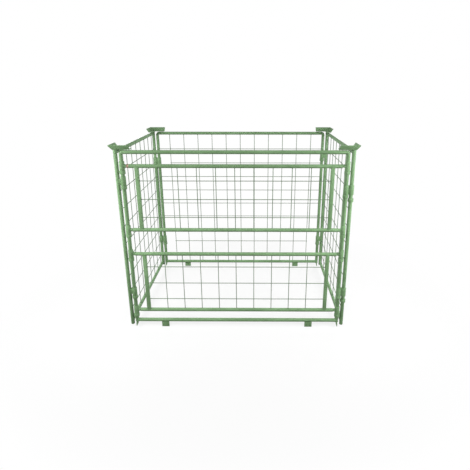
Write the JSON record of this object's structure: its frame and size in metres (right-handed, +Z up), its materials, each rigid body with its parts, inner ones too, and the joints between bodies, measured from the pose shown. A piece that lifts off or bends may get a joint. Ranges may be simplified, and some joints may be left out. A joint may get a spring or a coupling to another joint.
{
  "type": "pallet collar",
  "caption": "Folding mesh collar for a pallet deck: tube-framed wire mesh walls on corner sleeves, with hinged front flaps and flared stacking corners.",
  "frame": {"origin": "centre of the footprint at the lowest point of the locating tabs", "axes": "+X along the long walls to the right, +Y from the front wall with the flaps to the back wall, +Z up"},
  "size_m": [1.314, 0.856, 1.1022],
  "materials": {
    "green_paint": "satin"
  },
  "bodies": {
    "back_wall": {"back_left_post": "green_paint", "back_right_post": "green_paint", "back_top_rail": "green_paint", "back_bottom_rail": "green_paint", "back_left_foot_blade": "green_paint", "back_right_foot_blade": "green_paint", "back_left_locating_tab": "green_paint", "back_right_locating_tab": "green_paint", "back_wire_mesh": "green_paint"},
    "left_wall": {"left_top_rail": "green_paint", "left_bottom_rail": "green_paint", "left_wire_mesh": "green_paint", "left_front_post": "green_paint", "left_front_upper_link": "green_paint", "left_front_lower_link": "green_paint", "left_front_stacking_bracket": "green_paint", "left_rear_post": "green_paint", "left_rear_upper_link": "green_paint", "left_rear_lower_link": "green_paint", "left_rear_stacking_bracket": "green_paint"},
    "right_wall": {"right_top_rail": "green_paint", "right_bottom_rail": "green_paint", "right_wire_mesh": "green_paint", "right_front_post": "green_paint", "right_front_upper_link": "green_paint", "right_front_lower_link": "green_paint", "right_front_stacking_bracket": "green_paint", "right_rear_post": "green_paint", "right_rear_upper_link": "green_paint", "right_rear_lower_link": "green_paint", "right_rear_stacking_bracket": "green_paint", "right_front_upper_ring": "green_paint", "right_front_lower_ring": "green_paint"},
    "front_wall": {"front_left_post": "green_paint", "front_right_post": "green_paint", "front_top_rail": "green_paint", "front_bottom_rail": "green_paint", "front_left_foot_blade": "green_paint", "front_right_foot_blade": "green_paint", "front_left_locating_tab": "green_paint", "front_right_locating_tab": "green_paint", "upper_flap_left_hinge_sleeve": "green_paint", "upper_flap_right_hinge_sleeve": "green_paint", "lower_flap_left_hinge_sleeve": "green_paint", "lower_flap_right_hinge_sleeve": "green_paint"},
    "upper_flap": {"upper_flap_top_bar": "green_paint", "upper_flap_bottom_bar": "green_paint", "upper_flap_left_stile": "green_paint", "upper_flap_right_stile": "green_paint", "upper_flap_wire_mesh": "green_paint"},
    "lower_flap": {"lower_flap_top_bar": "green_paint", "lower_flap_bottom_bar": "green_paint", "lower_flap_left_stile": "green_paint", "lower_flap_right_stile": "green_paint", "lower_flap_wire_mesh": "green_paint"},
    "upper_flap_left_lock": {"upper_flap_left_lock_sleeve": "green_paint"},
    "upper_flap_right_lock": {"upper_flap_right_lock_sleeve": "green_paint"},
    "lower_flap_left_lock": {"lower_flap_left_lock_sleeve": "green_paint"},
    "lower_flap_right_lock": {"lower_flap_right_lock_sleeve": "green_paint"}
  },
  "joints": [
    {"name": "fold", "type": "hinge", "parent": "back_wall", "child": "left_wall", "pos_m": [-0.6, 0.4, 0.5], "axis": [0, 0, 1], "range_deg": [0, 85]},
    {"name": "right_wall_swing", "type": "hinge", "parent": "back_wall", "child": "right_wall", "pos_m": [0.6, 0.4, 0.5], "axis": [0, 0, 1], "range_deg": [0, 85]},
    {"name": "front_wall_swing", "type": "hinge", "parent": "left_wall", "child": "front_wall", "pos_m": [-0.6, -0.4, 0.5], "axis": [0, 0, 1], "range_deg": [-85, 0]},
    {"name": "upper_flap_hinge", "type": "hinge", "parent": "front_wall", "child": "upper_flap", "pos_m": [0, -0.4, 0.624], "axis": [1, 0, 0], "range_deg": [0, 170]},
    {"name": "lower_flap_hinge", "type": "hinge", "parent": "front_wall", "child": "lower_flap", "pos_m": [0, -0.4, 0.114], "axis": [1, 0, 0], "range_deg": [0, 104]},
    {"name": "upper_flap_left_lock_slide", "type": "slide", "parent": "front_wall", "child": "upper_flap_left_lock", "axis": [0, 0, 1], "range_m": [0, 0.02]},
    {"name": "upper_flap_right_lock_slide", "type": "slide", "parent": "front_wall", "child": "upper_flap_right_lock", "axis": [0, 0, 1], "range_m": [0, 0.02]},
    {"name": "lower_flap_left_lock_slide", "type": "slide", "parent": "front_wall", "child": "lower_flap_left_lock", "axis": [0, 0, 1], "range_m": [0, 0.02]},
    {"name": "lower_flap_right_lock_slide", "type": "slide", "parent": "front_wall", "child": "lower_flap_right_lock", "axis": [0, 0, 1], "range_m": [0, 0.02]}
  ],
  "couplings": [
    {"joint": "right_wall_swing", "follows": "fold", "ratio": 1},
    {"joint": "front_wall_swing", "follows": "fold", "ratio": -1}
  ]
}
